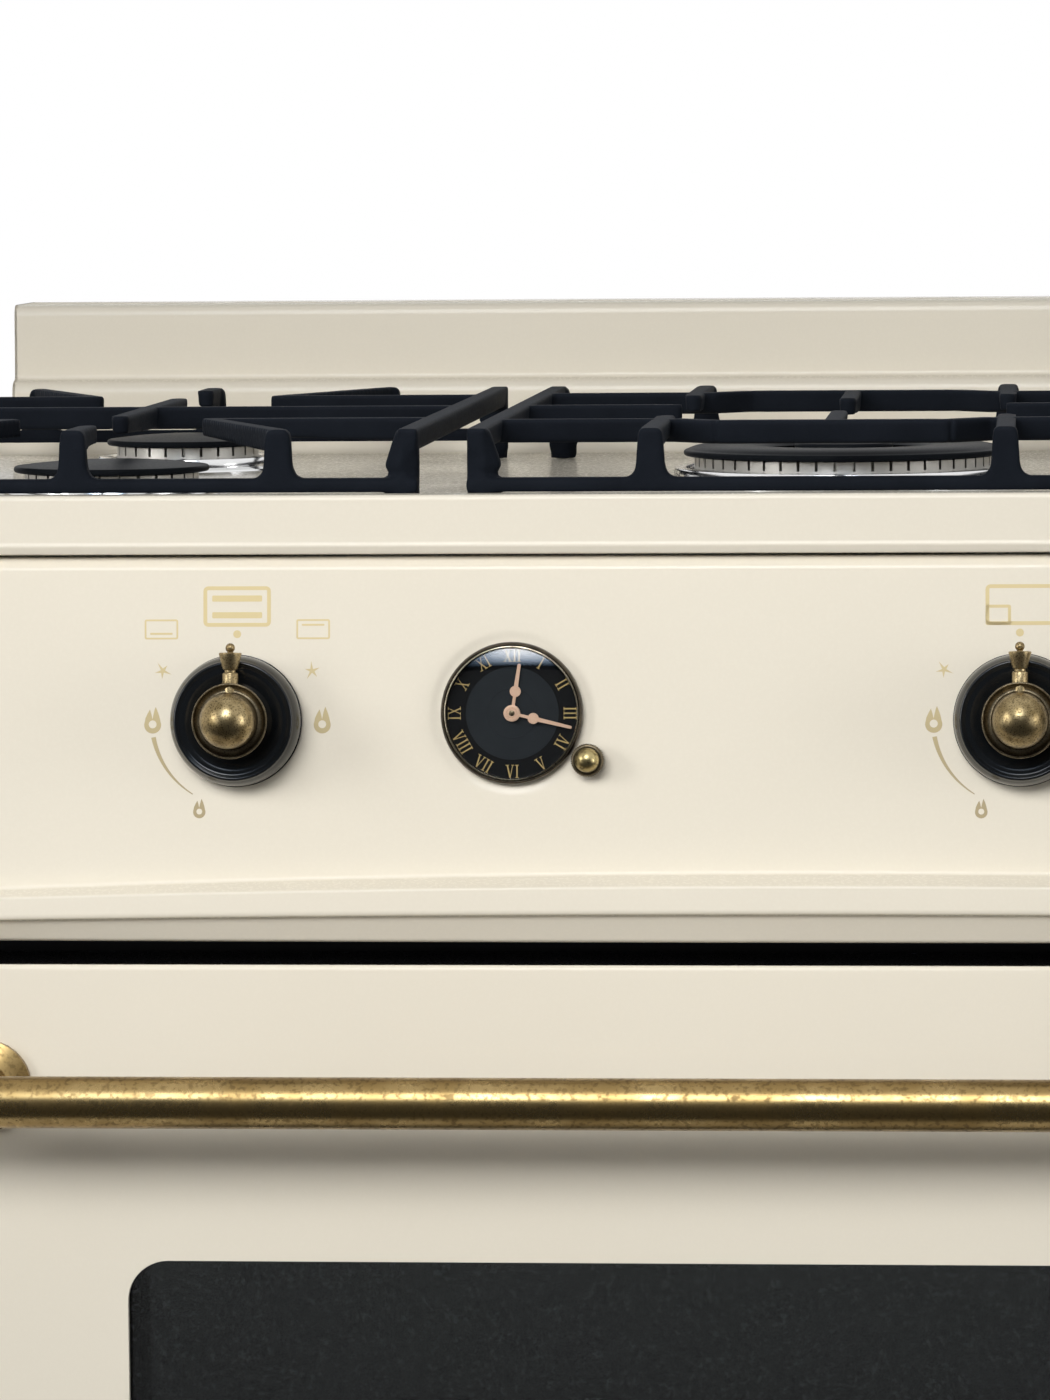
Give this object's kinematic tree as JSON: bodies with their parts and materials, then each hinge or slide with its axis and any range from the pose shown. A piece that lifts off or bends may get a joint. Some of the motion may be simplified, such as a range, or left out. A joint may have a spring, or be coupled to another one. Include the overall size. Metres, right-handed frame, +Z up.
{
  "type": "gas range",
  "caption": "Freestanding gas range with a burner hob under cast iron grates, a bowed control panel with push-and-turn knobs and a clock, a drop-down oven door and a storage drawer.",
  "frame": {"origin": "on the floor, under the middle of the whole object's box", "axes": "+X to the right of someone facing the range, +Y to the wall behind it, +Z up"},
  "size_m": [0.9, 0.655, 0.962],
  "materials": {
    "cream_enamel": "gloss",
    "dark_enamel": "gloss",
    "galvanised_steel": "satin",
    "cast_iron": "sand-cast satin enamel",
    "cap_enamel": "satin",
    "burner_aluminium": "satin",
    "cup_chrome": "polished",
    "pipe_aluminium": "satin",
    "antique_brass": "aged, mottled",
    "tap_brass": "machined",
    "black_knob": "gloss",
    "movement_plastic": "matte",
    "dial_black": "satin",
    "hand_bronze": "satin",
    "clear_glass": "clear",
    "seal_rubber": "matte",
    "shelf_chrome": "polished",
    "foot_steel": "satin"
  },
  "bodies": {
    "root": {"back_panel": "galvanised_steel", "backguard": "cream_enamel", "base_pan": "galvanised_steel", "burner_crowns": "burner_aluminium", "burner_cups": "cup_chrome", "clock_bezel": "antique_brass", "clock_dial": "dial_black", "clock_glass": "clear_glass", "clock_movement": "movement_plastic", "control_panel": "cream_enamel", "door_seal": "seal_rubber", "feet": "foot_steel", "front_frame": "cream_enamel", "gas_pipes": "pipe_aluminium", "gas_rail": "galvanised_steel", "gas_taps": "tap_brass", "hinge_pins": "galvanised_steel", "hob_top": "cream_enamel", "mains_gland": "black_knob", "oven_burners": "galvanised_steel", "oven_floor_plate": "dark_enamel", "oven_liner": "dark_enamel", "screws": "galvanised_steel", "shelf_runners": "shelf_chrome", "side_panel_left": "cream_enamel", "side_panel_right": "cream_enamel"},
    "door": {"door_skin": "cream_enamel", "door_liner": "dark_enamel", "door_panes": "clear_glass", "door_handle": "antique_brass", "handle_brackets": "antique_brass", "hinge_straps": "galvanised_steel"},
    "drawer": {"drawer_front": "cream_enamel", "drawer_box": "galvanised_steel", "drawer_handle": "antique_brass"},
    "oven_rack": {"oven_rack": "shelf_chrome"},
    "grate_left": {"grate_left": "cast_iron"},
    "grate_centre": {"grate_centre": "cast_iron"},
    "grate_right": {"grate_right": "cast_iron"},
    "cap_left_front": {"burner_cap_left_front": "cap_enamel"},
    "cap_left_rear": {"burner_cap_left_rear": "cap_enamel"},
    "cap_centre": {"burner_cap_centre": "cap_enamel"},
    "cap_centre_inner": {"burner_cap_centre_inner": "cap_enamel"},
    "cap_right_rear": {"burner_cap_right_rear": "cap_enamel"},
    "cap_right_front": {"burner_cap_right_front": "cap_enamel"},
    "knob_push_oven": {"knob_base_oven": "black_knob"},
    "knob_turn_oven": {"knob_grip_oven": "antique_brass"},
    "knob_push_burner_left_front": {"knob_base_burner_left_front": "black_knob"},
    "knob_turn_burner_left_front": {"knob_grip_burner_left_front": "antique_brass"},
    "knob_push_burner_left_rear": {"knob_base_burner_left_rear": "black_knob"},
    "knob_turn_burner_left_rear": {"knob_grip_burner_left_rear": "antique_brass"},
    "knob_push_burner_centre": {"knob_base_burner_centre": "black_knob"},
    "knob_turn_burner_centre": {"knob_grip_burner_centre": "antique_brass"},
    "knob_push_burner_right_rear": {"knob_base_burner_right_rear": "black_knob"},
    "knob_turn_burner_right_rear": {"knob_grip_burner_right_rear": "antique_brass"},
    "knob_push_burner_right_front": {"knob_base_burner_right_front": "black_knob"},
    "knob_turn_burner_right_front": {"knob_grip_burner_right_front": "antique_brass"},
    "set_knob": {"set_knob": "antique_brass"},
    "minute_hand": {"minute_hand": "hand_bronze"},
    "hour_hand": {"hour_hand": "hand_bronze"}
  },
  "joints": [
    {"name": "door_hinge", "type": "hinge", "parent": "root", "child": "door", "pos_m": [0, -0.2625, 0.25], "axis": [1, 0, 0], "range_deg": [0, 90]},
    {"name": "drawer_slide", "type": "slide", "parent": "root", "child": "drawer", "axis": [0, -1, 0], "range_m": [0, 0.35]},
    {"name": "oven_rack_slide", "type": "slide", "parent": "root", "child": "oven_rack", "axis": [0, -1, 0], "range_m": [0, 0.04]},
    {"name": "grate_left_lift", "type": "slide", "parent": "root", "child": "grate_left", "axis": [0, 0, 1], "range_m": [0, 0.1]},
    {"name": "grate_centre_lift", "type": "slide", "parent": "root", "child": "grate_centre", "axis": [0, 0, 1], "range_m": [0, 0.1]},
    {"name": "grate_right_lift", "type": "slide", "parent": "root", "child": "grate_right", "axis": [0, 0, 1], "range_m": [0, 0.1]},
    {"name": "cap_left_front_lift", "type": "slide", "parent": "root", "child": "cap_left_front", "axis": [0, 0, 1], "range_m": [0, 0.005]},
    {"name": "cap_left_rear_lift", "type": "slide", "parent": "root", "child": "cap_left_rear", "axis": [0, 0, 1], "range_m": [0, 0.005]},
    {"name": "cap_centre_lift", "type": "slide", "parent": "root", "child": "cap_centre", "axis": [0, 0, 1], "range_m": [0, 0.005]},
    {"name": "cap_centre_inner_lift", "type": "slide", "parent": "root", "child": "cap_centre_inner", "axis": [0, 0, 1], "range_m": [0, 0.0035]},
    {"name": "cap_right_rear_lift", "type": "slide", "parent": "root", "child": "cap_right_rear", "axis": [0, 0, 1], "range_m": [0, 0.005]},
    {"name": "cap_right_front_lift", "type": "slide", "parent": "root", "child": "cap_right_front", "axis": [0, 0, 1], "range_m": [0, 0.005]},
    {"name": "oven_push", "type": "slide", "parent": "root", "child": "knob_push_oven", "axis": [0, 0.9965, -0.0837], "range_m": [0, 0.003], "stiffness_N_per_m": 400, "springref_m": -0.005},
    {"name": "oven_turn", "type": "hinge", "parent": "knob_push_oven", "child": "knob_turn_oven", "pos_m": [-0.23, -0.26549, 0.8121], "axis": [0, 0.9965, -0.0837], "range_deg": [-165, 90]},
    {"name": "burner_left_front_push", "type": "slide", "parent": "root", "child": "knob_push_burner_left_front", "axis": [0, 0.9965, -0.0837], "range_m": [0, 0.003], "stiffness_N_per_m": 400, "springref_m": -0.005},
    {"name": "burner_left_front_turn", "type": "hinge", "parent": "knob_push_burner_left_front", "child": "knob_turn_burner_left_front", "pos_m": [0.0745, -0.26549, 0.8121], "axis": [0, 0.9965, -0.0837], "range_deg": [-165, 0]},
    {"name": "burner_left_rear_push", "type": "slide", "parent": "root", "child": "knob_push_burner_left_rear", "axis": [0, 0.9965, -0.0837], "range_m": [0, 0.003], "stiffness_N_per_m": 400, "springref_m": -0.005},
    {"name": "burner_left_rear_turn", "type": "hinge", "parent": "knob_push_burner_left_rear", "child": "knob_turn_burner_left_rear", "pos_m": [0.1545, -0.26549, 0.8121], "axis": [0, 0.9965, -0.0837], "range_deg": [-165, 0]},
    {"name": "burner_centre_push", "type": "slide", "parent": "root", "child": "knob_push_burner_centre", "axis": [0, 0.9965, -0.0837], "range_m": [0, 0.003], "stiffness_N_per_m": 400, "springref_m": -0.005},
    {"name": "burner_centre_turn", "type": "hinge", "parent": "knob_push_burner_centre", "child": "knob_turn_burner_centre", "pos_m": [0.2345, -0.26549, 0.8121], "axis": [0, 0.9965, -0.0837], "range_deg": [-165, 0]},
    {"name": "burner_right_rear_push", "type": "slide", "parent": "root", "child": "knob_push_burner_right_rear", "axis": [0, 0.9965, -0.0837], "range_m": [0, 0.003], "stiffness_N_per_m": 400, "springref_m": -0.005},
    {"name": "burner_right_rear_turn", "type": "hinge", "parent": "knob_push_burner_right_rear", "child": "knob_turn_burner_right_rear", "pos_m": [0.3145, -0.26549, 0.8121], "axis": [0, 0.9965, -0.0837], "range_deg": [-165, 0]},
    {"name": "burner_right_front_push", "type": "slide", "parent": "root", "child": "knob_push_burner_right_front", "axis": [0, 0.9965, -0.0837], "range_m": [0, 0.003], "stiffness_N_per_m": 400, "springref_m": -0.005},
    {"name": "burner_right_front_turn", "type": "hinge", "parent": "knob_push_burner_right_front", "child": "knob_turn_burner_right_front", "pos_m": [0.3945, -0.26549, 0.8121], "axis": [0, 0.9965, -0.0837], "range_deg": [-165, 0]},
    {"name": "set_knob_turn", "type": "hinge", "parent": "root", "child": "set_knob", "pos_m": [-0.0928, -0.26678, 0.79676], "axis": [0, 0.9965, -0.0837], "continuous": true},
    {"name": "minute_hand_turn", "type": "hinge", "parent": "root", "child": "minute_hand", "pos_m": [-0.1225, -0.26525, 0.8149], "axis": [0, 0.9965, -0.0837], "continuous": true},
    {"name": "hour_hand_turn", "type": "hinge", "parent": "root", "child": "hour_hand", "pos_m": [-0.1225, -0.26525, 0.8149], "axis": [0, 0.9965, -0.0837], "continuous": true}
  ],
  "couplings": [
    {"joint": "minute_hand_turn", "follows": "set_knob_turn", "ratio": 1},
    {"joint": "hour_hand_turn", "follows": "set_knob_turn", "ratio": 0.083333}
  ]
}
